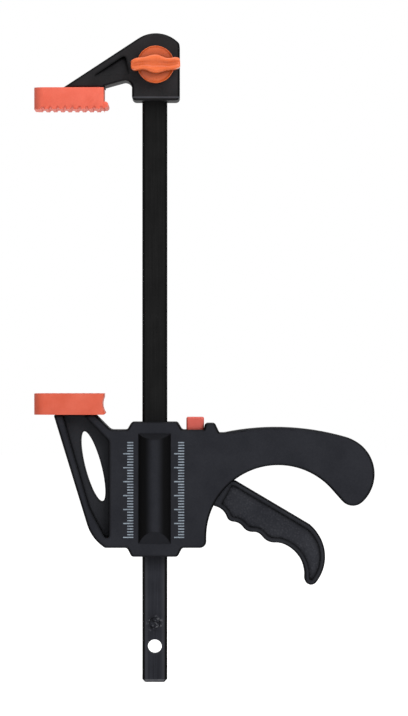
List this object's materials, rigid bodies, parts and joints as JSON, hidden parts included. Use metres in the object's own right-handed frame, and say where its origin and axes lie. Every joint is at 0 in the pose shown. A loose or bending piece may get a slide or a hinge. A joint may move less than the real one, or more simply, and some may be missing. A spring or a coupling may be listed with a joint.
{
  "type": "quick release bar clamp",
  "caption": "One-handed quick release bar clamp with a fixed and a sliding jaw, rubber pads, a pistol-grip trigger, a release button and a lock knob.",
  "frame": {"origin": "centre of the hanging hole near the bar's lower end, at mid thickness of the bar", "axes": "+Z along the bar towards the fixed jaw, +X towards the handle, -X towards the jaws, -Y towards the side with the lock knob"},
  "size_m": [0.0977, 0.025, 0.1865],
  "materials": {
    "bar_steel": "black oxide, satin",
    "black_nylon": "fine moulded texture",
    "pad_rubber": "soft satin",
    "knob_plastic": "satin",
    "button_plastic": "satin",
    "zinc_steel": "zinc plated",
    "black_screws": "black zinc",
    "spring_steel": "oiled spring wire"
  },
  "bodies": {
    "frame": {"bar": "bar_steel", "stop_pin": "bar_steel", "fixed_jaw": "black_nylon", "fixed_jaw_pad": "pad_rubber", "lock_nut": "zinc_steel"},
    "washer": {"lock_washer": "zinc_steel"},
    "knob": {"lock_knob": "knob_plastic", "lock_screw": "zinc_steel"},
    "housing": {"housing_front": "black_nylon", "housing_back": "black_nylon", "housing_screws": "black_screws", "moving_jaw_pad": "pad_rubber", "trigger_pin": "zinc_steel", "drive_spring": "spring_steel", "brake_spring": "spring_steel"},
    "trigger": {"trigger": "black_nylon"},
    "drive": {"drive_plate_upper": "zinc_steel", "drive_plate_lower": "zinc_steel"},
    "brake": {"brake_plate": "zinc_steel"},
    "button": {"release_button": "button_plastic"}
  },
  "joints": [
    {"name": "jaw_slide", "type": "slide", "parent": "frame", "child": "housing", "axis": [0, 0, 1], "range_m": [-0.0175, 0.0812]},
    {"name": "trigger_pull", "type": "hinge", "parent": "housing", "child": "trigger", "pos_m": [0.0105, 0, 0.04655], "axis": [0, -1, 0], "range_deg": [0, 19], "stiffness_Nm_per_rad": 0.05, "springref_deg": -5.73},
    {"name": "drive_travel", "type": "slide", "parent": "housing", "child": "drive", "axis": [0, 0, -1], "range_m": [0, 0.00166], "deforming": ["drive_spring"]},
    {"name": "release_press", "type": "slide", "parent": "housing", "child": "button", "axis": [0, 0, -1], "range_m": [0, 0.002], "stiffness_N_per_m": 400, "springref_m": -0.0005},
    {"name": "brake_tilt", "type": "hinge", "parent": "housing", "child": "brake", "pos_m": [-0.0083, 0, 0.0554], "axis": [0, 1, 0], "range_deg": [0, 6], "deforming": ["brake_spring"]},
    {"name": "knob_travel", "type": "slide", "parent": "frame", "child": "washer", "axis": [0, -1, 0], "range_m": [0, 0.0021]},
    {"name": "knob_turn", "type": "hinge", "parent": "washer", "child": "knob", "pos_m": [0.00035, 0, 0.16705], "axis": [0, -1, 0], "range_deg": [0, 1080]}
  ],
  "couplings": [
    {"joint": "drive_travel", "follows": "trigger_pull", "m_per_rad": 0.0049771},
    {"joint": "brake_tilt", "follows": "release_press", "rad_per_m": 49.785},
    {"joint": "knob_turn", "follows": "knob_travel", "rad_per_m": 8976}
  ]
}
